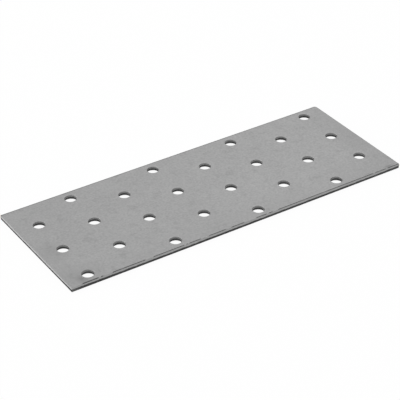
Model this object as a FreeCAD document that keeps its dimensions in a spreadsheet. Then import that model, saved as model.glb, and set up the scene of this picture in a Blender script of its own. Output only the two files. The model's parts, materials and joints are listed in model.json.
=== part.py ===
"""A flat mending plate: a sheared strip of sheet steel with staggered rows of punched screw holes.

The plate lies on its underside, with its length along X and its width along Y. The origin is on the
underside, at the middle of the plate. All sizes are in millimetres.

Shearing and punching leave the same three bands on every cut edge. From the top they are the rollover,
where the sheet is drawn down into a rounded shoulder, the burnished band, which is upright and smooth,
and the fracture band, which is torn and leans back from the cut as it goes down to the underside.
"""

import FreeCAD, Part
import math
import os

import Sketcher

NODE = "mending_plate"

DRIVING_SIZES = (
    # the strip
    ("plate_length", 160, "long side"),
    ("plate_width", 60, "short side"),
    ("plate_thickness", 2, "gauge of the sheet"),
    ("corner_radius", 0.4, "rounding of the three crisp corners, seen from above"),
    ("blunt_corner_radius", 1.2, "rounding of the right back corner, which is knocked blunt"),
    # the screw holes
    ("hole_diameter", 5, "hole at its burnished band"),
    ("column_pitch", 20, "from one crosswise column of holes to the next"),
    ("row_pitch", 20, "from hole to hole within a column"),
    ("end_web", 5, "least steel between a hole and an end of the plate"),
    ("edge_web", 1.5, "least steel between a hole and a long edge"),
    # the cut edges
    ("rollover_radius", 0.25, "rounding of every cut edge at the top face"),
    ("fracture_share", 0.6, "share of the wall below the rollover that is torn"),
    ("edge_breakout", 0.12, "how far the outline draws in over its fracture band"),
    ("hole_breakout", 0.25, "how far a hole widens, on the radius, over its fracture band"),
)

DERIVED_VALUES = (
    ("fracture_height", "Float", "(sizes.plate_thickness - sizes.rollover_radius) * sizes.fracture_share"),
    ("burnish_radius", "Float", "sizes.hole_diameter / 2"),
    ("foot_radius", "Float", "derived.burnish_radius + sizes.hole_breakout"),
    # every other column is shifted by half a row, so the holes lie on columns and half rows
    ("half_row", "Float", "sizes.row_pitch / 2"),
    ("column_room", "Float", "sizes.plate_length - sizes.hole_diameter - 2 * sizes.end_web"),
    ("row_room", "Float", "sizes.plate_width - sizes.hole_diameter - 2 * sizes.edge_web"),
    ("columns", "Integer", "floor(derived.column_room / sizes.column_pitch) + 1"),
    ("half_rows", "Integer", "floor(derived.row_room / derived.half_row) + 1"),
    ("first_column", "Float", "-sizes.column_pitch * (derived.columns - 1) / 2"),
    ("first_half_row", "Float", "-derived.half_row * (derived.half_rows - 1) / 2"),
)

# the ends of a piece of a sketch, and the sketch's origin, as its constraints name them
START = 1
END = 2
ORIGIN = (-1, START)


def make_sizes(doc):
    """Put each driving size in a row of the sheet, with its name as the alias of its cell."""
    sheet = doc.addObject("Spreadsheet::Sheet", "sizes")
    for row, (name, value, note) in enumerate(DRIVING_SIZES, start=1):
        sheet.set(f"A{row}", name)
        sheet.set(f"B{row}", str(value))
        sheet.set(f"C{row}", note)
        sheet.setAlias(f"B{row}", name)
    doc.recompute()
    return sheet


def make_derived_values(doc):
    """Work out the fracture band's height and the hole pattern from the driving sizes."""
    derived = doc.addObject("App::VarSet", "derived")
    for name, kind, expression in DERIVED_VALUES:
        derived.addProperty(f"App::Property{kind}", name, "Derived")
        derived.setExpression(name, expression)
    doc.recompute()
    return derived


def origin_feature(body, role):
    """Return the body's own origin plane or axis that has this role."""
    for feature in body.Origin.OriginFeatures:
        if feature.Role == role:
            return feature
    raise RuntimeError(f"{body.Label} has no {role}")


def new_sketch(body, name, plane_role):
    """Add an empty sketch on one of the body's own origin planes."""
    sketch = body.newObject("Sketcher::SketchObject", name)
    sketch.AttachmentSupport = [(origin_feature(body, plane_role), "")]
    sketch.MapMode = "FlatFace"
    return sketch


def constrain(sketch, kind, *where):
    """Add a constraint without a size to the sketch."""
    sketch.addConstraint(Sketcher.Constraint(kind, *where))


def dimension(sketch, name, kind, where, expression):
    """Add a sized constraint to the sketch, name it and bind its size to an expression."""
    rough_size = 1.0
    index = sketch.addConstraint(Sketcher.Constraint(kind, *where, rough_size))
    sketch.renameConstraint(index, name)
    sketch.setExpression(f"Constraints.{name}", expression)


def draw_loop(sketch, corners):
    """Draw a closed loop of straight lines, each from one corner to the next, and join their ends."""
    count = len(corners)
    for index in range(count):
        sketch.addGeometry(Part.LineSegment(corners[index], corners[(index + 1) % count]), False)
    for index in range(count):
        constrain(sketch, "Coincident", index, END, (index + 1) % count, START)


def draw_outline(body):
    """Draw the strip's outline, a rectangle centred on the origin."""
    sketch = new_sketch(body, "outline", "XY_Plane")
    # rough corners, which the constraints below bring to size
    draw_loop(sketch, [FreeCAD.Vector(x, y, 0) for x, y in ((-2, -1), (2, -1), (2, 1), (-2, 1))])
    front, right, back, left = range(4)
    for side in (front, back):
        constrain(sketch, "Horizontal", side)
    for side in (right, left):
        constrain(sketch, "Vertical", side)
    # two opposite corners lie evenly about the origin
    constrain(sketch, "Symmetric", front, START, right, END, *ORIGIN)
    dimension(sketch, "length", "DistanceX", (front, START, front, END), "sizes.plate_length")
    dimension(sketch, "width", "DistanceY", (right, START, right, END), "sizes.plate_width")
    return sketch


def edges_where(feature, test):
    """Return the names of the feature's edges whose two ends and middle all pass the test."""
    names = []
    for index, edge in enumerate(feature.Shape.Edges, start=1):
        middle = edge.valueAt((edge.FirstParameter + edge.LastParameter) / 2)
        points = [vertex.Point for vertex in edge.Vertexes] + [middle]
        if all(test(point) for point in points):
            names.append(f"Edge{index}")
    return names


def round_edges(doc, body, name, base, test, radius):
    """Fillet the base's edges that pass the test, and bind the radius to an expression."""
    fillet = body.newObject("PartDesign::Fillet", name)
    fillet.Base = (base, edges_where(base, test))
    fillet.setExpression("Radius", radius)
    doc.recompute()
    return fillet


def make_strip(doc, body, sheet):
    """Shear the blank: pad the outline, round its corners, then shape its cut edges."""
    near = sheet.plate_thickness / 1000
    half_length = sheet.plate_length / 2
    half_width = sheet.plate_width / 2

    def at_blunt_corner(point):
        return math.hypot(point.x - half_length, point.y - half_width) < near

    def at_crisp_corner(point):
        at_corner = math.hypot(abs(point.x) - half_length, abs(point.y) - half_width) < near
        return at_corner and not at_blunt_corner(point)

    def at_top(point):
        return abs(point.z - sheet.plate_thickness) < near

    def at_underside(point):
        return abs(point.z) < near

    strip = body.newObject("PartDesign::Pad", "strip")
    strip.Profile = draw_outline(body)
    strip.setExpression("Length", "sizes.plate_thickness")
    doc.recompute()

    crisp = round_edges(doc, body, "crisp_corners", strip, at_crisp_corner, "sizes.corner_radius")
    blunt = round_edges(doc, body, "blunt_corner", crisp, at_blunt_corner, "sizes.blunt_corner_radius")
    rollover = round_edges(doc, body, "rollover", blunt, at_top, "sizes.rollover_radius")

    # the first distance runs up the side and the second one in along the underside
    fracture = body.newObject("PartDesign::Chamfer", "fracture")
    fracture.Base = (rollover, edges_where(rollover, at_underside))
    fracture.ChamferType = "Two distances"
    fracture.setExpression("Size", "derived.fracture_height")
    fracture.setExpression("Size2", "sizes.edge_breakout")
    doc.recompute()


def draw_hole_section(body, name, centre_x, centre_y):
    """Draw half the upright section of a punched hole, from the hole's axis out to its wall.

    The rim's rollover is a straight slope, as deep and as wide as the rounding of the outline.
    """
    sketch = new_sketch(body, name, "XZ_Plane")
    # this plane's third axis points to the front, against Y
    sketch.setExpression("AttachmentOffset.Base.x", centre_x)
    sketch.setExpression("AttachmentOffset.Base.z", f"-({centre_y})")

    # a rough section, which the constraints below bring to size
    axis_foot = FreeCAD.Vector(0, 0, 0)
    wall_foot = FreeCAD.Vector(5, 0, 0)
    fracture_head = FreeCAD.Vector(4, 2, 0)
    burnish_head = FreeCAD.Vector(4, 3, 0)
    rim = FreeCAD.Vector(5, 4, 0)
    axis_head = FreeCAD.Vector(0, 4, 0)
    draw_loop(sketch, [axis_foot, wall_foot, fracture_head, burnish_head, rim, axis_head])
    underside, fracture, burnish, rollover, top, axis = range(6)
    constrain(sketch, "Coincident", axis, END, *ORIGIN)
    for level in (underside, top):
        constrain(sketch, "Horizontal", level)
    for upright in (burnish, axis):
        constrain(sketch, "Vertical", upright)

    sizes = (
        ("thickness", "DistanceY", (axis, END, axis, START), "sizes.plate_thickness"),
        ("fracture_height", "DistanceY", (fracture, START, fracture, END), "derived.fracture_height"),
        ("foot_radius", "DistanceX", (*ORIGIN, fracture, START), "derived.foot_radius"),
        ("burnish_radius", "DistanceX", (*ORIGIN, burnish, START), "derived.burnish_radius"),
        ("rollover_width", "DistanceX", (rollover, START, rollover, END), "sizes.rollover_radius"),
        ("rollover_depth", "DistanceY", (rollover, START, rollover, END), "sizes.rollover_radius"),
    )
    for size_name, kind, where, expression in sizes:
        dimension(sketch, size_name, kind, where, expression)
    return sketch


def punch_holes(doc, body, first):
    """Punch the holes of every second column, each in every second half row.

    Columns and half rows are both counted from 0, and this set takes those numbered first, first + 2,
    first + 4 and so on. The two sets that start at 0 and at 1 make the staggered pattern.
    """
    columns = f"ceil((derived.columns - {first}) / 2)"
    rows = f"ceil((derived.half_rows - {first}) / 2)"
    centre_x = f"derived.first_column + sizes.column_pitch * {first}"
    centre_y = f"derived.first_half_row + derived.half_row * {first}"

    hole = body.newObject("PartDesign::Groove", f"hole_{first}")
    section = draw_hole_section(body, f"hole_section_{first}", centre_x, centre_y)
    hole.Profile = section
    hole.ReferenceAxis = (section, ["V_Axis"])
    hole.Angle = 360
    doc.recompute()

    grid = body.newObject("PartDesign::LinearPattern", f"hole_grid_{first}")
    grid.Originals = [hole]
    grid.Direction = (origin_feature(body, "X_Axis"), [""])
    grid.setExpression("Length", f"2 * sizes.column_pitch * ({columns} - 1)")
    grid.setExpression("Occurrences", columns)
    grid.Direction2 = (origin_feature(body, "Y_Axis"), [""])
    grid.setExpression("Length2", f"sizes.row_pitch * ({rows} - 1)")
    grid.setExpression("Occurrences2", rows)
    body.Tip = grid
    doc.recompute()


def check_document(doc, body, blank_volume):
    """Raise an error if a feature failed, the solid is bad or the punching took nothing away."""
    failed = [item.Label for item in doc.Objects if {"Invalid", "Error"} & set(item.State)]
    if failed:
        raise RuntimeError(f"failed features: {', '.join(failed)}")
    if body.Shape.isNull() or not body.Shape.isValid():
        raise RuntimeError(f"{body.Label} has no valid shape")
    if body.Shape.Volume >= blank_volume:
        raise RuntimeError(f"{body.Label} has no holes")


def main():
    """Build the plate and write its solid."""
    doc = FreeCAD.newDocument("mending_plate")
    sheet = make_sizes(doc)
    derived = make_derived_values(doc)

    body = doc.addObject("PartDesign::Body", NODE)
    body.Label = NODE
    body.Placement = FreeCAD.Placement()
    make_strip(doc, body, sheet)
    blank_volume = body.Shape.Volume
    # with room for one column or one half row only, there is no second set
    for first in range(min(2, derived.columns, derived.half_rows)):
        punch_holes(doc, body, first)

    check_document(doc, body, blank_volume)
    os.makedirs("parts", exist_ok=True)
    body.Shape.exportStep(f"parts/{body.Label}.step")


main()
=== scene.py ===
"""Mending plate: a strip of hot-dip galvanised sheet steel, sheared to length and punched with
staggered screw holes.

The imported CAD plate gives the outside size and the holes' places. This file draws the plate's
looks in that space: the zinc skin, the rounded rims that shearing and punching leave, and the
smooth and torn bands of every cut edge.
"""

import json
import math

import bpy
import numpy as np
from bpy.props import FloatProperty, FloatVectorProperty, IntProperty, PointerProperty
from bpy.types import Operator, Panel, PropertyGroup
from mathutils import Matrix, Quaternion, Vector


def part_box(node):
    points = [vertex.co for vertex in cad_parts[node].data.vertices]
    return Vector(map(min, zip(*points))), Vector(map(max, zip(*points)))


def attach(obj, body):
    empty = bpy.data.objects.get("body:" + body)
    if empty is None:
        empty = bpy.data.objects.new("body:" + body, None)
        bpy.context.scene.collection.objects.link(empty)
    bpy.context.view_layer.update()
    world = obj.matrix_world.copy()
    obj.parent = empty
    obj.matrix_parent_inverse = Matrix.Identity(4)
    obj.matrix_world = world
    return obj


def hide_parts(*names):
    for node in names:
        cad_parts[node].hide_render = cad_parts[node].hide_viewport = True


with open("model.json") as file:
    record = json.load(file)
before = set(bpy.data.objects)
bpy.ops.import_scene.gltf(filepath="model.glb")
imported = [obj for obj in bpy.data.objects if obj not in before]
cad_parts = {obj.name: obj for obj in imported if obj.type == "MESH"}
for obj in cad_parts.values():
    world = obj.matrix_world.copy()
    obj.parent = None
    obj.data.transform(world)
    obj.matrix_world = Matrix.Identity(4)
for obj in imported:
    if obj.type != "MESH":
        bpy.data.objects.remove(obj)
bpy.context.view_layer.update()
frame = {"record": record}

bl_info = {
    "name": "Mending plate",
    "version": (1, 0, 0),
    "blender": (4, 5, 0),
    "location": "View3D > Sidebar > Plate",
    "description": "Makes a sheared and punched plate of galvanised steel, and the stage for it",
    "category": "Mesh",
}

MM = 0.001
NODE = "mending_plate"
LOW, HIGH = (np.round(corner, 7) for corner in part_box(NODE))

# Two points nearer to each other than this are one point of the mesh.
WELD = 1e-8
# Faces that meet at a sharper turn than this keep a crisp edge between them.
CRISP = math.radians(40)

# What a face of the sheet shows, and the number of its material on the sheet.
ZINC, SMOOTH, TORN = range(3)

# Marks from 0 to 1 on the mesh's points, which the materials read: the walls of the short sides,
# which take colours of their own, with a smooth band painted lighter for the light that falls on
# the ends, the walls of the holes, painted darker as shade inside them, a painted highlight on the
# walls at the front corners, and a painted shadow line along the rim of the long sides.
MARKS = ("short_side", "punched", "corner_highlight", "rim_shade")

# The rings of a cut edge, from the top face down: shares of the way to where the face is drawn
# down most, angles round the rim, what is left of the way to the tear line, and shares of the way
# from there to the underside. HOLLOWED says how much of the hollows' depth each torn ring has.
DRAWN = np.array([[0], [0.5], [0.8], [1]])
ROUND = np.linspace(0, np.pi / 2, 6)[1:, None]
UPRIGHT = np.array([[0.5], [0.08], [0]])
FALLEN = np.array([[0.1], [0.35], [0.65], [1]])
HOLLOWED = np.array([[0.5], [1], [1], [0.4]])

# The rings on a hole's two flat faces: shares of the way from the border of its cell to the rim,
# and from the foot of the hole back to the border.
TO_RIM = np.array([[0], [0.45]])
FROM_FOOT = np.array([[0.12], [0.5], [1]])
# The ring beside the outline's foot, on the underside, lies this far in.
FOOT_RING = 0.15 * MM

# Numbers of waves round the loop, lowest and highest: the tear line of a hole, that of the
# outline, and the breaks of the painted shadow line on the rim.
HOLE_WAVES = (1, 14)
OUTLINE_WAVES = (30, 300)
BREAK_WAVES = (40, 240)

# The section of a long side turns into that of an end over about this length on each side of a
# corner. Where less than the second value of it is left, round the corner too, the wall is marked
# as a short side's, whose colours are painted for the light that falls on the ends.
BLEND = 1 * MM
SHORT_SIDE_BELOW = 0.51
# The tear line stands higher along the ends. It rises towards the front left corner by a bell
# curve, of one width along the front and another along the end, and towards the front right one
# by an exponential.
END_RISE = 0.06 * MM
LEFT_RISE, LEFT_WIDTH, LEFT_END_WIDTH = 0.2 * MM, 20 * MM, 6 * MM
RIGHT_RISE, RIGHT_REACH = 0.3 * MM, 5 * MM
# Shares of painted highlight on the walls at the same two corners, and the left one's width.
LEFT_HIGHLIGHT, LEFT_HIGHLIGHT_WIDTH, RIGHT_HIGHLIGHT = 0.18, 3.5 * MM, 0.08
# The painted shadow line on the rim is wider near the front left corner, and narrows over this
# length.
WIDE_RIM_SHADE = 25 * MM

# Where the front rim has no painted shadow line: each stretch's start and end, in millimetres
# from the left end.
UNSHADED = np.array(
    [
        (-1, 4.9),
        (12, 13),
        (14, 18.2),
        (33, 36.7),
        (51, 52),
        (52.7, 53.4),
        (58.8, 62.8),
        (70.8, 73.6),
        (79.7, 85.7),
        (90.8, 92),
        (93.8, 96.6),
        (146, 147.2),
        (152.8, 154),
    ]
)

# Smudges where the plate was held and rubbed in the box: the place of each on the top face and its
# reach along and across, in millimetres, and its depth from 0 to 1.
SMUDGES = [
    (-73.8, -5, 7, 10, 0.16),
    (-74, -24, 12, 10, 0.16),
    (-73.5, -27, 3, 3.5, 0.35),
    (82, 0, 16, 40, 0.17),
    (68, -27, 30, 14, 0.09),
    (0, -34, 110, 20, 0.07),
    (74.9, -28.9, 3, 1.5, 0.5),
]
# They reach this far down, so the underside stays plain.
SMUDGE_DROP = 1.5 * MM

# The zinc's tone before its other patterns, from dull to light: where it is clean, and in the
# middle of a freckle.
CLEAN_TONE, FRECKLE_TONE = 0.535, 0.205

# The floor reaches this far each way, in metres, and lies this far under the plate.
FLOOR_REACH = 3
FLOOR_GAP = 0.02 * MM
# Place and width of the two softboxes, in metres.
LEFT_SOFTBOX = ((-1.65, 1.55, 1.35), 2.6)
BACK_SOFTBOX = ((1.2, 0.9, 1.8), 1.8)


def linear(hex_colour):
    """An sRGB colour such as "#A3A4A5" as linear red, green and blue."""
    srgb = np.array([int(hex_colour[i : i + 2], 16) for i in (1, 3, 5)]) / 255
    return tuple(np.where(srgb <= 0.04045, srgb / 12.92, ((srgb + 0.055) / 1.055) ** 2.4))


def length(name, description, millimetres):
    """A length of the plate, given in millimetres and kept in metres."""
    return FloatProperty(
        name=name, description=description, default=millimetres * MM, unit="LENGTH", precision=5
    )


def colour(name, description, hex_colour):
    """A colour of the plate or the stage, given in sRGB and kept linear."""
    return FloatVectorProperty(
        name=name,
        description=description,
        default=linear(hex_colour),
        size=3,
        subtype="COLOR",
        min=0,
        max=1,
    )


def turn_of(name, description, degrees):
    """A turn of the camera, given in degrees and kept in radians."""
    return FloatProperty(
        name=name, description=description, default=math.radians(degrees), unit="ROTATION"
    )


class PlateShape(PropertyGroup):
    """Sizes of the cut edges. The outside size and the holes come from the frame."""

    corner_radius: length("Corner radius", "The three crisp corners", 0.15)
    blunt_radius: length("Blunt corner radius", "The back right corner, knocked blunt", 1.2)
    margin: length("Margin", "From the outline in to the cells of the holes", 1.2)
    rollover: length("Rollover", "Radius of the long sides' and the holes' rims", 0.25)
    end_rollover: length("Rollover of the ends", "The same on the crisper short sides", 0.08)
    dish_width: length("Dish width", "How far from a rim the face starts to sink", 0.6)
    dish_depth: length("Dish depth", "How deep it is drawn down at the outline", 0.008)
    hole_dish: length("Dish of the holes", "How deep it is drawn down at a hole", 0.03)
    tear_height: length("Tear height", "Top of the torn band, above the underside", 1.1)
    tear_wander: length("Tear wander", "How far that line wanders up and down", 0.09)
    edge_breakout: length("Edge breakout", "How far the long sides' torn band leans in", 0.12)
    end_breakout: length("End breakout", "How far the short sides' torn band leans in", 0.2)
    hole_breakout: length("Hole breakout", "How far a hole widens over its torn band", 0.25)
    tear_grain: length("Tear grain", "Depth of the hollows in a torn band", 0.03)
    edge_step: length("Edge step", "Longest face along the outline", 0.4)
    face_step: length("Face step", "Longest face between two holes", 1)
    seed: IntProperty(name="Seed", description="Picks another wander of the cut edges", default=7)


class PlateFinish(PropertyGroup):
    """Colours of the zinc and of the cut steel."""

    zinc_light: colour("Zinc, light", "The brightest zinc", "#9D9D9D")
    zinc_dull: colour("Zinc, dull", "The dullest zinc", "#8E8E8E")
    # Painted shade: the dark broken line on the long sides' rim, where the rollover's shadow line
    # falls.
    rim_shade: colour("Rubbed rim", "Zinc that the slitting knife rubbed thin", "#3A3A3A")
    grime: colour("Grime", "Smudges from handling", "#5A5A5A")
    slit_smooth: colour("Slit edge, smooth", "Burnished band of the long sides", "#9A9A9A")
    slit_torn: colour("Slit edge, torn", "Torn band of the long sides", "#4A4A4A")
    # Painted light: the short sides' smooth band is painted lighter than the long sides', for the
    # light that falls on them from the left.
    end_smooth: colour("End, smooth", "Burnished band of the short sides", "#BBBBBB")
    end_torn: colour("End, torn", "Torn band of the short sides", "#404040")
    # Painted shade: the holes' bands are painted darker than the slit sides', for the shade inside
    # the holes.
    punched_smooth: colour("Hole, smooth", "Burnished band of the holes", "#7C7C7C")
    punched_torn: colour("Hole, torn", "Torn band of the holes", "#4D4D4D")


class PlateStage(PropertyGroup):
    """The floor, the light and the camera."""

    floor: colour("Floor", "Paper that the plate lies on", "#F2F2F2")
    glow: FloatProperty(
        name="Glow",
        description="Share of the floor that shows as plain white",
        default=0.95,
        subtype="FACTOR",
    )
    sky: FloatProperty(name="Sky", description="Strength of the light from all round", default=0.8)
    left_lamp: FloatProperty(
        name="Left lamp", description="Softbox on the left", default=30, unit="POWER"
    )
    back_lamp: FloatProperty(
        name="Back lamp", description="Softbox behind on the right", default=5.5, unit="POWER"
    )
    focal_length: FloatProperty(
        name="Focal length", description="On a sensor 36 mm wide", default=135.34, unit="CAMERA"
    )
    heading: turn_of("Heading", "Camera's heading, from +Y towards +X", 32.650)
    dip: turn_of("Dip", "How far the camera looks down", 33.318)
    roll: turn_of("Roll", "Camera's turn about its own axis", -0.684)
    distance: FloatProperty(
        name="Distance",
        description="From the camera to the point it looks at",
        default=0.62117,
        unit="LENGTH",
    )
    aim: FloatVectorProperty(
        name="Aim",
        description="The point of the top face that the camera looks at",
        default=(-6.138 * MM, -6.014 * MM),
        size=2,
        unit="LENGTH",
        precision=6,
    )


def hole_pattern():
    """The holes' centres and their radius. Each of the record's bolt patterns gives its middle
    plus and minus half of its spacings, and a hole that two patterns share is counted once."""
    centres = set()
    for mount in frame["record"]["mounts"]:
        if mount["kind"] == "bolt_pattern":
            x, y, _ = mount["pos_m"]
            dims = mount["dims"]
            half_x, half_y = (dims.get(f"spacing_{axis}_mm", 0) * MM / 2 for axis in "xy")
            signs = [(i, j) for i in (-1, 1) for j in (-1, 1)]
            centres |= {(round(x + i * half_x, 6), round(y + j * half_y, 6)) for i, j in signs}
            radius = dims["hole_r_mm"] * MM
    return sorted(centres), radius


def wander(turn, seed, fewest, most):
    """A closed random line: the sum of cosines with whole numbers of waves round the loop, from
    the fewest to the most, each with a phase of its own and a height that falls with the square
    root of its number. turn runs from 0 to 1 round the loop. The line's spread is about a half,
    and it is cut off at one either way."""
    waves = np.arange(fewest, most + 1)
    phases = np.random.default_rng(seed).uniform(0, 2 * np.pi, waves.size)
    heights = waves**-0.5
    line = np.cos(2 * np.pi * np.multiply.outer(turn, waves) + phases) @ heights
    return np.clip(line / np.sqrt(2 * (heights**2).sum()), -1, 1)


def lattice(stops, step):
    """Coordinates through every stop, with each stretch between two stops in equal parts no longer
    than the step."""
    counts = [math.ceil((b - a) / step - 1e-6) for a, b in zip(stops, stops[1:])]
    parts = [np.linspace(a, b, n + 1)[:-1] for a, b, n in zip(stops, stops[1:], counts)]
    return np.concatenate([*parts, stops[-1:]])


def run(line, start, stop):
    """The points of a lattice from start to stop, either way, without the last one."""
    inside = line[(line > min(start, stop) - WELD) & (line < max(start, stop) + WELD)]
    return (inside if start < stop else inside[::-1])[:-1]


def cut_edge(shape, turn, seed, waves, rollover, dish, tear_height, breakout):
    """The section of a cut edge at every station of its path, as rings from the top face round to
    the underside. inset is how far a ring lies back in the metal from the upright wall, and height
    is above the underside. In words: a shallow parabola where the face is drawn down by the dish,
    a quarter round of the rollover, an upright wall down to the tear line, which wanders about the
    tear height, and below it a wall that leans back by the breakout, with hollows that wander too.
    The last four values are lengths, each a single one or one for each station."""
    top, flat = HIGH[2] - LOW[2], np.ones_like(turn)
    rollover, dish, breakout = rollover * flat, dish * flat, breakout * flat
    tear = tear_height + shape.tear_wander * wander(turn, seed, *waves)
    round_foot = top - dish - rollover
    seeds = range(seed + 1, seed + 1 + len(FALLEN))
    hollow = np.stack([wander(turn, ring_seed, waves[1] // 3, waves[1]) for ring_seed in seeds])
    inset = [
        (shape.rollover + shape.dish_width * (1 - DRAWN)) * flat,
        rollover * (1 - np.sin(ROUND)),
        0 * UPRIGHT * flat,
        breakout * FALLEN + shape.tear_grain * (1 + hollow) / 2 * HOLLOWED,
    ]
    height = [
        top - dish * DRAWN**2,
        round_foot + rollover * np.cos(ROUND),
        tear + (round_foot - tear) * UPRIGHT,
        tear * (1 - FALLEN),
    ]
    zinc_rows = len(DRAWN) - 1 + len(ROUND)
    zones = [ZINC] * zinc_rows + [SMOOTH] * len(UPRIGHT) + [TORN] * len(FALLEN)
    return np.concatenate(inset), np.concatenate(height), zones


def blank_marks(height):
    """All the marks of a grid, at 0."""
    return {name: np.zeros_like(height) for name in MARKS}


def hole_patch(shape, border, centre, radius, seed):
    """One hole's grid, from the border of its cell in to the rim, down through the hole and back
    out underneath. A ring's point is the hole's centre plus the direction of a ray times the
    ring's radius, and the rays end on the border. On the two flat faces the rings are shares of
    the way between the border and the hole."""
    rays = border - centre
    reach = np.hypot(*rays.T)
    rays = rays / reach[:, None]
    turn = np.arctan2(rays[:, 1], rays[:, 0]) / (2 * np.pi)
    section = (shape.rollover, shape.hole_dish, shape.tear_height, shape.hole_breakout)
    inset, height, zones = cut_edge(shape, turn, seed, HOLE_WAVES, *section)
    radii = radius + inset
    above = reach + (radii[0] - reach) * TO_RIM
    below = radii[-1] + (reach - radii[-1]) * FROM_FOOT
    height = np.concatenate(
        [np.repeat(height[:1], len(above), 0), height, np.repeat(height[-1:], len(below), 0)]
    )
    points = centre + rays * np.concatenate([above, radii, below])[..., None]
    points[0] = points[-1] = border
    marks = blank_marks(height)
    # The hole's walls are painted darker in the cut materials, as shade inside the hole.
    marks["punched"] += 1
    return {
        "points": np.concatenate([points, height[..., None]], 2),
        "zones": [ZINC] * len(above) + zones + [ZINC] * len(below),
        "marks": marks,
        "inside_out": False,
    }


def outline_patch(shape, lines, corners):
    """The outline's grid, from the inner rectangle out to the edge, down and back in underneath.
    Its path starts at the front left corner, along the front. It has the inner rectangle's lattice
    along the sides, and even steps round the corners. A ring's point is the station's place on a
    rectangle whose corners are the middles of the ring's corner arcs, plus the outward direction
    times what the ring's inset leaves of the corner radius. Where it leaves nothing, the ring's
    corners are sharp. slit is 1 on a long side and 0 on an end, with an exponential between them
    that passes a half at the corner."""
    arc = np.linspace(0, np.pi / 2, 9)[1:-1]
    # Of the front right corner, the back right, the back left and the front left.
    radii = [shape.corner_radius, shape.blunt_radius, shape.corner_radius, shape.corner_radius]
    anchors, angles, radius = [], [], []
    for i, (corner, line) in enumerate(zip(corners, lines)):
        fixed = np.full(line.size, corner[1 - i % 2])
        anchors += [np.stack([line, fixed] if i % 2 == 0 else [fixed, line], 1)]
        anchors += [np.tile(corner, (arc.size, 1))]
        heading = (i - 1) * np.pi / 2
        angles += [np.full(line.size, heading), heading + arc]
        radius += [np.linspace(radii[i - 1], radii[i], line.size), np.full(arc.size, radii[i])]
    anchors, angles, radius = (np.concatenate(parts) for parts in (anchors, angles, radius))
    outward = np.stack([np.cos(angles), np.sin(angles)], 1)
    share = anchors / np.abs(corners[0])

    def place(inset):
        """The points at an inset from the outer face, for one ring or for a stack of rings."""
        middle = HIGH[:2] - np.maximum(inset, radius)[..., None]
        return share * middle + outward * np.maximum(radius - inset, 0)[..., None]

    gaps = np.hypot(*(np.roll(anchors, -1, 0) - anchors).T)
    along = np.cumsum(gaps) - gaps
    turn = along / gaps.sum()
    to_corner = np.abs(np.abs(anchors) - np.abs(corners[0])).max(1)
    is_long = np.abs(outward[:, 1]) > 0.9
    slit = 0.5 + (is_long - 0.5) * (1 - np.exp(-to_corner / BLEND))
    from_left_corner = np.minimum(along / LEFT_WIDTH, (gaps.sum() - along) / LEFT_END_WIDTH)
    near_left = np.exp(-(from_left_corner**2))
    near_right = np.exp(-np.abs(anchors - corners[0]).max(1) / RIGHT_REACH)
    rise = LEFT_RISE * near_left + RIGHT_RISE * near_right + END_RISE * (1 - slit)
    inset, height, zones = cut_edge(
        shape,
        turn,
        shape.seed,
        OUTLINE_WAVES,
        rollover=shape.end_rollover + (shape.rollover - shape.end_rollover) * slit,
        dish=shape.dish_depth,
        tear_height=shape.tear_height + rise,
        breakout=shape.end_breakout + (shape.edge_breakout - shape.end_breakout) * slit,
    )
    border = np.full_like(inset[:1], shape.margin)
    inset = np.concatenate([border, inset, inset[-1:] + FOOT_RING, border])
    height = np.concatenate([height[:1], height, height[[-1, -1]]])
    points = np.concatenate([place(inset), height[..., None]], 2)
    points[0, :, :2] = points[-1, :, :2] = anchors

    # The painted shadow line runs along the rim of the long sides nearly everywhere, with faint
    # breaks.
    # The stretches of the front without it fade in and out over one edge step.
    from_left = place(np.zeros_like(radius))[:, :1] - LOW[0]
    into = np.minimum(from_left - UNSHADED[:, 0] * MM, UNSHADED[:, 1] * MM - from_left)
    unshaded = np.clip(into / shape.edge_step + 0.5, 0, 1).max(1) * (anchors[:, 1] < 0)
    breaks = wander(turn, shape.seed + 9, *BREAK_WAVES)
    dashes = np.clip(1.2 + 0.5 * breaks, 0, 1) * (1 - unshaded) * is_long
    marks = blank_marks(height)
    # The short sides' walls take their own colours, with a smooth band painted lighter for the
    # light that falls on the ends.
    marks["short_side"] += slit < SHORT_SIDE_BELOW
    # A painted highlight on the walls at the front corners, in the short sides' bright colour.
    highlight = LEFT_HIGHLIGHT * np.exp(-((along / LEFT_HIGHLIGHT_WIDTH) ** 2)) + RIGHT_HIGHLIGHT * near_right
    marks["corner_highlight"] += highlight
    # The painted shadow line lies on the rings on each side of where the rim's round begins, and
    # two more where the line is wide.
    marks["rim_shade"][3:6] = dashes
    marks["rim_shade"][[2, 6]] = dashes * np.exp(-((along / WIDE_RIM_SHADE) ** 2)) * np.array([[0.4], [1]])
    return {
        "points": points,
        "zones": [ZINC, *zones, ZINC, ZINC],
        "marks": marks,
        "inside_out": True,
    }


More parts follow.
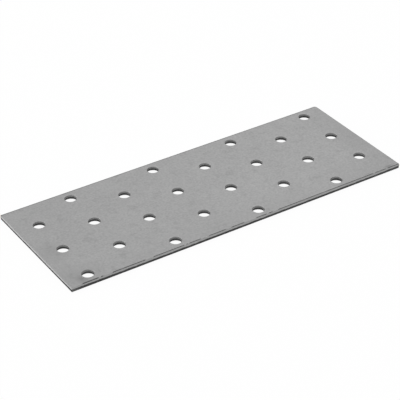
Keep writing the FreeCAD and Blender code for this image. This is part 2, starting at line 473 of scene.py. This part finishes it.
def sheet_patches(shape):
    """The whole sheet as grids that share their border points. The middle of the sheet is cut into
    one rectangular cell for each hole, halfway between it and its neighbours, and the last grid is
    the outline's."""
    centres, radius = hole_pattern()
    low, high = np.round(LOW[:2] + shape.margin, 7), np.round(HIGH[:2] - shape.margin, 7)
    columns = sorted({x for x, _ in centres})
    rows = {x: sorted(y for a, y in centres if a == x) for x in columns}

    def halfway(places, axis):
        """The inner rectangle's two sides, and the middles between neighbouring places."""
        middles = [round((a + b) / 2, 7) for a, b in zip(places, places[1:])]
        return [low[axis], *middles, high[axis]]

    x_stops = np.array(halfway(columns, 0))
    splits = {x: halfway(rows[x], 1) for x in columns}
    y_stops = np.array(sorted(set().union(*splits.values())))
    fine = [lattice(stops, shape.edge_step) for stops in (x_stops, y_stops)]
    plain = [lattice(stops, shape.face_step) for stops in (x_stops, y_stops)]

    def side(axis, across, start, stop):
        """One side of a cell, along one axis from start to stop, at its place across that axis."""
        on_outline = across in (low[1 - axis], high[1 - axis])
        line = run((fine if on_outline else plain)[axis], start, stop)
        fixed = np.full(line.size, across)
        return np.stack([line, fixed] if axis == 0 else [fixed, line], 1)

    patches = []
    for i, x in enumerate(columns):
        x0, x1 = x_stops[i : i + 2]
        for y, y0, y1 in zip(rows[x], splits[x], splits[x][1:]):
            front, right = side(0, y0, x0, x1), side(1, x1, y0, y1)
            back, left = side(0, y1, x1, x0), side(1, x0, y1, y0)
            border = np.concatenate([front, right, back, left])
            seed = shape.seed + 10 * (1 + len(patches))
            patches.append(hole_patch(shape, border, np.array([x, y]), radius, seed))
    lines = [fine[0], fine[1], fine[0][::-1], fine[1][::-1]]
    corners = [(high[0], low[1]), (high[0], high[1]), (low[0], high[1]), (low[0], low[1])]
    return [*patches, outline_patch(shape, lines, corners)]


def grid_faces(rings, stations, inside_out):
    """A grid's quads, closed round the loop: each joins two neighbouring points of a ring to those
    of the next ring."""
    ring, station = np.meshgrid(np.arange(rings - 1), np.arange(stations), indexing="ij")
    here, beside = ring * stations + station, ring * stations + (station + 1) % stations
    quads = np.stack([here, beside, beside + stations, here + stations], 2).reshape(-1, 4)
    return quads[:, ::-1] if inside_out else quads


def sheet_mesh(shape):
    """One closed mesh of all the grids. Points that share a place are made one. At the outline's
    corners that pinches some quads: those with three points left become triangles, and those with
    two go."""
    patches = sheet_patches(shape)
    sizes = [p["points"].shape[:2] for p in patches]
    starts = np.cumsum([0, *[rings * stations for rings, stations in sizes]])
    points = np.concatenate([p["points"].reshape(-1, 3) for p in patches])
    faces = [grid_faces(*size, p["inside_out"]) for size, p in zip(sizes, patches)]
    quads = np.concatenate([f + start for f, start in zip(faces, starts)])
    zones = [np.repeat(p["zones"], stations) for p, (_, stations) in zip(patches, sizes)]
    zones = np.concatenate(zones).astype(np.int32)
    places = np.round(points / WELD).astype(np.int64)
    _, first, welded = np.unique(places, axis=0, return_index=True, return_inverse=True)
    quads = welded.reshape(-1)[quads]
    pinched = quads == np.roll(quads, 1, 1)
    is_whole, is_triangle = pinched.sum(1) == 0, pinched.sum(1) == 1
    whole = quads[is_whole]
    triangles = quads[is_triangle][~pinched[is_triangle]].reshape(-1, 3)
    edges = [np.stack([f, np.roll(f, -1, 1)], 2).reshape(-1, 2) for f in (whole, triangles)]
    edges = np.concatenate(edges)
    one_way, either_way = (len(np.unique(e, axis=0)) for e in (edges, np.sort(edges, 1)))
    if one_way != len(edges) or either_way * 2 != len(edges):
        raise RuntimeError("the sheet isn't one closed surface")
    mesh = bpy.data.meshes.new("mending_plate_sheet")
    mesh.from_pydata(points[first].tolist(), [], whole.tolist() + triangles.tolist())
    zones = np.concatenate([zones[is_whole], zones[is_triangle]])
    mesh.polygons.foreach_set("material_index", zones)
    for name in MARKS:
        values = np.concatenate([p["marks"][name].ravel() for p in patches])[first]
        attribute = mesh.attributes.new(name, "FLOAT", "POINT")
        attribute.data.foreach_set("value", values.astype(np.float32))
    mesh.shade_smooth()
    mesh.set_sharp_from_angle(angle=CRISP)
    mesh.validate()
    mesh.update()
    return mesh


def add(material, kind, settings=(), inputs=()):
    """Adds one node to a material's or the world's tree. settings are the node's own options.
    inputs are its sockets, by name or number, each with a value or the output that feeds it."""
    node = material.node_tree.nodes.new(kind)
    for name, value in dict(settings).items():
        setattr(node, name, value)
    for key, value in dict(inputs).items():
        if isinstance(value, bpy.types.NodeSocket):
            material.node_tree.links.new(value, node.inputs[key])
        else:
            node.inputs[key].default_value = value
    return node


def new_material(name):
    """An empty node material."""
    material = bpy.data.materials.new(name)
    material.use_nodes = True
    material.node_tree.nodes.clear()
    return material


def tinted(material, surface_colour, tints):
    """The colour of a surface with each tint laid over it as far as the mark of its name says."""
    for mark, tint in tints.items():
        share = add(material, "ShaderNodeAttribute", {"attribute_name": mark}).outputs["Fac"]
        surface_colour = add(
            material,
            "ShaderNodeMix",
            {"data_type": "RGBA"},
            {0: share, 6: surface_colour, 7: (*tint, 1)},
        ).outputs[2]
    return surface_colour


def zinc_skin(finish):
    """Hot-dip galvanised sheet, rolled once more after the bath. That gives an even, matt, light
    grey face that scatters what it reflects, with a faint mottle, hardly any crystal pattern, dull
    freckles and a few marks from handling."""
    skin = new_material("hot_dip_galvanised_zinc")
    place = add(skin, "ShaderNodeTexCoord").outputs["Object"]

    # The bath's slow drift in tone, about 15 mm wide.
    drift = add(
        skin, "ShaderNodeTexNoise", inputs={"Vector": place, "Scale": 1 / (15 * MM), "Detail": 2}
    ).outputs[0]
    # Small zinc crystals, about 2 mm across, flattened by the last rolling.
    crystals = add(
        skin, "ShaderNodeTexVoronoi", inputs={"Vector": place, "Scale": 1 / (2 * MM)}
    ).outputs["Color"]
    crystals = add(skin, "ShaderNodeSeparateColor", inputs={0: crystals}).outputs[0]
    # The matt texture of the rolls. It is 0.1 mm wide on a real sheet, and drawn at 0.9 mm so that
    # it shows.
    mottle = add(
        skin, "ShaderNodeTexNoise", inputs={"Vector": place, "Scale": 1 / (0.9 * MM), "Detail": 3}
    ).outputs[0]
    # Rolling lines along the sheet, 0.4 mm wide and 12 mm long. Real ones are a tenth as wide.
    stretched = add(
        skin,
        "ShaderNodeMapping",
        inputs={"Vector": place, "Scale": (1 / (12 * MM), 1 / (0.4 * MM), 1 / (0.4 * MM))},
    ).outputs[0]
    lines = add(
        skin, "ShaderNodeTexNoise", inputs={"Vector": stretched, "Scale": 1, "Detail": 2}
    ).outputs[0]
    # Dull freckles, about 3.5 mm wide, where the zinc is a little oxidised. Most of the face has
    # none.
    freckles = add(
        skin, "ShaderNodeTexNoise", inputs={"Vector": place, "Scale": 1 / (3.5 * MM), "Detail": 1}
    ).outputs[0]
    tone = add(
        skin,
        "ShaderNodeMapRange",
        inputs={
            0: freckles,
            "From Min": 0.28,
            "From Max": 0.4,
            "To Min": FRECKLE_TONE,
            "To Max": CLEAN_TONE,
        },
    ).outputs[0]
    for pattern, amount in ((drift, 0.5), (crystals, 0.16), (mottle, 1.2), (lines, 0.35)):
        centred = add(
            skin, "ShaderNodeMath", {"operation": "SUBTRACT"}, {0: pattern, 1: 0.5}
        ).outputs[0]
        tone = add(
            skin,
            "ShaderNodeMath",
            {"operation": "MULTIPLY_ADD"},
            {0: centred, 1: amount, 2: tone},
        ).outputs[0]
    zinc = add(
        skin,
        "ShaderNodeMix",
        {"data_type": "RGBA"},
        {0: tone, 6: (*finish.zinc_dull, 1), 7: (*finish.zinc_light, 1)},
    ).outputs[2]

    # Each smudge fades from its middle, and the mottle, a half on average, breaks it up.
    for x, y, reach_x, reach_y, depth in SMUDGES:
        around = add(
            skin,
            "ShaderNodeMapping",
            {"vector_type": "TEXTURE"},
            {
                "Vector": place,
                "Location": (x * MM, y * MM, HIGH[2]),
                "Scale": (reach_x * MM, reach_y * MM, SMUDGE_DROP),
            },
        ).outputs[0]
        mark = add(
            skin, "ShaderNodeTexGradient", {"gradient_type": "SPHERICAL"}, {"Vector": around}
        ).outputs[1]
        broken = add(
            skin, "ShaderNodeMath", {"operation": "MULTIPLY"}, {0: mark, 1: mottle}
        ).outputs[0]
        share = add(
            skin, "ShaderNodeMath", {"operation": "MULTIPLY"}, {0: broken, 1: 2 * depth}
        ).outputs[0]
        zinc = add(
            skin, "ShaderNodeMix", {"data_type": "RGBA"}, {0: share, 6: zinc, 7: (*finish.grime, 1)}
        ).outputs[2]
    # A broken dark line is painted on the rim of the long sides: painted shade where the rollover's
    # shadow line falls.
    zinc = tinted(skin, zinc, {"rim_shade": finish.rim_shade})

    # The lighter parts of the mottle are a little smoother.
    matt = add(
        skin,
        "ShaderNodeMapRange",
        inputs={0: mottle, "From Min": 0.3, "From Max": 0.7, "To Min": 0.52, "To Max": 0.42},
    ).outputs[0]
    # Grains 0.3 mm wide, three times their real width, stand out by 6 thousandths of a
    # millimetre, which softens what the zinc reflects.
    grain = add(
        skin, "ShaderNodeTexNoise", inputs={"Vector": place, "Scale": 1 / (0.3 * MM), "Detail": 2}
    ).outputs[0]
    relief = add(
        skin,
        "ShaderNodeBump",
        inputs={"Strength": 0.5, "Distance": 0.006 * MM, "Height": grain},
    ).outputs[0]
    surface = add(
        skin,
        "ShaderNodeBsdfPrincipled",
        inputs={"Base Color": zinc, "Metallic": 1, "Roughness": matt, "Normal": relief},
    ).outputs[0]
    add(skin, "ShaderNodeOutputMaterial", inputs={0: surface})
    return skin


def finish_cut(cut, steel, pattern, shade, strength, depth, roughness):
    """Ends the material of a cut band. The pattern shades the steel's colour and stands out by the
    depth. shade holds two values of the pattern and the shares of the colour that they leave."""
    ends = dict(zip(("From Min", "From Max", "To Min", "To Max"), shade))
    share = add(cut, "ShaderNodeMapRange", inputs={0: pattern, **ends}).outputs[0]
    steel = add(
        cut, "ShaderNodeVectorMath", {"operation": "SCALE"}, {0: steel, "Scale": share}
    ).outputs[0]
    relief = add(
        cut,
        "ShaderNodeBump",
        inputs={"Strength": strength, "Distance": depth, "Height": pattern},
    ).outputs[0]
    surface = add(
        cut,
        "ShaderNodeBsdfPrincipled",
        inputs={"Base Color": steel, "Metallic": 1, "Roughness": roughness, "Normal": relief},
    ).outputs[0]
    add(cut, "ShaderNodeOutputMaterial", inputs={0: surface})


def burnished_cut(finish):
    """Steel that the blade or punch slid along. That gives a smooth bright band with upright score
    lines. The ends are painted brighter than the slit sides as painted light, the front corners
    carry a painted highlight, and the holes are painted darker as shade inside them."""
    cut = new_material("sheared_steel_burnished")
    place = add(cut, "ShaderNodeTexCoord").outputs["Object"]
    # Score lines run down the wall. Real ones are about 0.05 mm apart, and these are 0.25 mm.
    stretched = add(
        cut,
        "ShaderNodeMapping",
        inputs={"Vector": place, "Scale": (1 / (0.25 * MM), 1 / (0.25 * MM), 1 / (3 * MM))},
    ).outputs[0]
    scores = add(
        cut, "ShaderNodeTexNoise", inputs={"Vector": stretched, "Scale": 1, "Detail": 2}
    ).outputs[0]
    # The short sides' band is painted lighter as painted light, the front corners carry a painted
    # highlight, and the holes' band is painted darker as shade inside them.
    tints = {
        "short_side": finish.end_smooth,
        "punched": finish.punched_smooth,
        "corner_highlight": finish.end_smooth,
    }
    steel = tinted(cut, (*finish.slit_smooth, 1), tints)
    finish_cut(
        cut, steel, scores, (0.3, 0.7, 0.9, 1.06), strength=0.4, depth=0.01 * MM, roughness=0.38
    )
    return cut


def torn_cut(finish):
    """Steel that broke ahead of the blade or punch. That gives a dark, rough, grainy band with
    upright tears. The ends are a little darker than the slit sides, the front corners are painted
    brighter as a painted highlight, and the holes are painted darker as shade inside them."""
    cut = new_material("sheared_steel_torn")
    place = add(cut, "ShaderNodeTexCoord").outputs["Object"]
    # Tears 0.3 mm wide and 1 mm long, and grains 0.15 mm across, are about twice their real size.
    stretched = add(
        cut,
        "ShaderNodeMapping",
        inputs={"Vector": place, "Scale": (1 / (0.3 * MM), 1 / (0.3 * MM), 1 / (1 * MM))},
    ).outputs[0]
    tears = add(
        cut, "ShaderNodeTexNoise", inputs={"Vector": stretched, "Scale": 1, "Detail": 3}
    ).outputs[0]
    grains = add(
        cut, "ShaderNodeTexNoise", inputs={"Vector": place, "Scale": 1 / (0.15 * MM), "Detail": 2}
    ).outputs[0]
    rough = add(
        cut, "ShaderNodeMath", {"operation": "MULTIPLY_ADD"}, {0: grains, 1: 0.5, 2: tears}
    ).outputs[0]
    # The short sides' band has its own darker colour, the front corners carry a painted highlight,
    # and the holes' band is painted darker as shade inside them.
    tints = {
        "short_side": finish.end_torn,
        "punched": finish.punched_torn,
        "corner_highlight": finish.end_smooth,
    }
    steel = tinted(cut, (*finish.slit_torn, 1), tints)
    finish_cut(
        cut, steel, rough, (0.45, 1.05, 0.65, 1.35), strength=0.7, depth=0.05 * MM, roughness=0.72
    )
    return cut


class PLATE_OT_make_sheet(Operator):
    """Makes the sheared and punched sheet in place of the plain CAD plate"""

    bl_idname = "plate.make_sheet"
    bl_label = "Make the sheet"

    def execute(self, context):
        finish = context.scene.plate_finish
        mesh = sheet_mesh(context.scene.plate_shape)
        # In the order of ZINC, SMOOTH and TORN.
        for material in (zinc_skin(finish), burnished_cut(finish), torn_cut(finish)):
            mesh.materials.append(material)
        sheet = bpy.data.objects.new("mending_plate_sheet", mesh)
        context.scene.collection.objects.link(sheet)
        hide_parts(NODE)
        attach(sheet, "root")
        return {"FINISHED"}


def white_to_the_eye(tree_owner):
    """1 for what the camera, a reflection or a clear piece shows, and 0 for the light that falls
    on the object."""
    kinds = add(tree_owner, "ShaderNodeLightPath").outputs
    seen = kinds["Is Camera Ray"]
    for kind in ("Is Glossy Ray", "Is Transmission Ray"):
        seen = add(
            tree_owner, "ShaderNodeMath", {"operation": "MAXIMUM"}, {0: seen, 1: kinds[kind]}
        ).outputs[0]
    return seen


def make_floor(stage):
    """A square of pale paper just under the plate. Most of what the eye sees of it is plain white,
    and the rest is lit, so that it keeps the plate's shadow."""
    paper = new_material("white_paper")
    seen = white_to_the_eye(paper)
    share = add(
        paper, "ShaderNodeMath", {"operation": "MULTIPLY"}, {0: seen, 1: stage.glow}
    ).outputs[0]
    lit = add(paper, "ShaderNodeBsdfDiffuse", inputs={"Color": (*stage.floor, 1)}).outputs[0]
    plain = add(
        paper, "ShaderNodeEmission", inputs={"Color": (1, 1, 1, 1), "Strength": 1}
    ).outputs[0]
    surface = add(paper, "ShaderNodeMixShader", inputs={0: share, 1: lit, 2: plain}).outputs[0]
    add(paper, "ShaderNodeOutputMaterial", inputs={0: surface})
    cells = 8
    line = np.linspace(-FLOOR_REACH, FLOOR_REACH, cells + 1)
    x, y = np.meshgrid(line, line)
    points = np.stack([x, y, np.full_like(x, LOW[2] - FLOOR_GAP)], 2).reshape(-1, 3)
    first = (np.arange(cells)[:, None] * (cells + 1) + np.arange(cells)).reshape(-1, 1)
    quads = first + [0, 1, cells + 2, cells + 1]
    mesh = bpy.data.meshes.new("floor")
    mesh.from_pydata(points.tolist(), [], quads.tolist())
    mesh.materials.append(paper)
    floor = bpy.data.objects.new("floor", mesh)
    bpy.context.scene.collection.objects.link(floor)


def make_lamp(name, place, width, power):
    """A square softbox that faces the middle of the plate."""
    lamp = bpy.data.lights.new(name, "AREA")
    lamp.size = width
    lamp.energy = power
    softbox = bpy.data.objects.new(name, lamp)
    softbox.location = place
    softbox.rotation_euler = (-Vector(place)).to_track_quat("-Z", "Y").to_euler()
    bpy.context.scene.collection.objects.link(softbox)


def make_sky(stage):
    """Light from all round at the strength of the sky, which the eye sees as plain white."""
    world = bpy.data.worlds.new("studio")
    world.use_nodes = True
    world.node_tree.nodes.clear()
    seen = white_to_the_eye(world)
    strength = add(
        world,
        "ShaderNodeMath",
        {"operation": "MULTIPLY_ADD"},
        {0: seen, 1: 1 - stage.sky, 2: stage.sky},
    ).outputs[0]
    light = add(
        world, "ShaderNodeBackground", inputs={"Color": (1, 1, 1, 1), "Strength": strength}
    ).outputs[0]
    add(world, "ShaderNodeOutputWorld", inputs={0: light})
    bpy.context.scene.world = world


def make_camera(stage):
    """The camera at the photograph's angle. It looks at a point of the plate's top face from the
    given distance."""
    aim = Vector((*stage.aim, HIGH[2]))
    level = math.cos(stage.dip)
    sideways, ahead = math.sin(stage.heading) * level, math.cos(stage.heading) * level
    gaze = Vector((sideways, ahead, -math.sin(stage.dip)))
    lens = bpy.data.cameras.new("camera")
    lens.sensor_width = 36
    lens.lens = stage.focal_length
    lens.clip_start, lens.clip_end = 0.05, 20
    camera = bpy.data.objects.new("camera", lens)
    camera.location = aim - gaze * stage.distance
    turn = gaze.to_track_quat("-Z", "Y") @ Quaternion((0, 0, 1), stage.roll)
    camera.rotation_euler = turn.to_euler()
    bpy.context.scene.collection.objects.link(camera)
    bpy.context.scene.camera = camera


class PLATE_OT_make_stage(Operator):
    """Makes the floor, the soft light and the camera at the photograph's angle"""

    bl_idname = "plate.make_stage"
    bl_label = "Make the stage"

    def execute(self, context):
        stage = context.scene.plate_stage
        make_floor(stage)
        make_lamp("left_softbox", *LEFT_SOFTBOX, stage.left_lamp)
        make_lamp("back_softbox", *BACK_SOFTBOX, stage.back_lamp)
        make_sky(stage)
        make_camera(stage)
        context.scene.view_settings.view_transform = "Standard"
        return {"FINISHED"}


class PLATE_PT_panel(Panel):
    """The plate's sizes, colours and stage, with a button for each step"""

    bl_idname = "PLATE_PT_panel"
    bl_label = "Mending plate"
    bl_space_type = "VIEW_3D"
    bl_region_type = "UI"
    bl_category = "Plate"

    def draw(self, context):
        scene = context.scene
        steps = [
            (PLATE_OT_make_sheet, [scene.plate_shape, scene.plate_finish]),
            (PLATE_OT_make_stage, [scene.plate_stage]),
        ]
        for step, groups in steps:
            box = self.layout.box()
            for group in groups:
                for name in group.bl_rna.properties.keys():
                    if name not in ("rna_type", "name"):
                        box.prop(group, name)
            box.operator(step.bl_idname)


CLASSES = (
    PlateShape,
    PlateFinish,
    PlateStage,
    PLATE_OT_make_sheet,
    PLATE_OT_make_stage,
    PLATE_PT_panel,
)


def register():
    """Registers the classes, and hangs the three groups of values on the scene."""
    for cls in CLASSES:
        bpy.utils.register_class(cls)
    bpy.types.Scene.plate_shape = PointerProperty(type=PlateShape)
    bpy.types.Scene.plate_finish = PointerProperty(type=PlateFinish)
    bpy.types.Scene.plate_stage = PointerProperty(type=PlateStage)


def unregister():
    """Undoes what register does."""
    del bpy.types.Scene.plate_stage, bpy.types.Scene.plate_finish, bpy.types.Scene.plate_shape
    for cls in reversed(CLASSES):
        bpy.utils.unregister_class(cls)


def main():
    """Registers the classes, and makes the sheet and the stage."""
    register()
    bpy.ops.plate.make_sheet()
    bpy.ops.plate.make_stage()


if __name__ == "__main__":
    main()
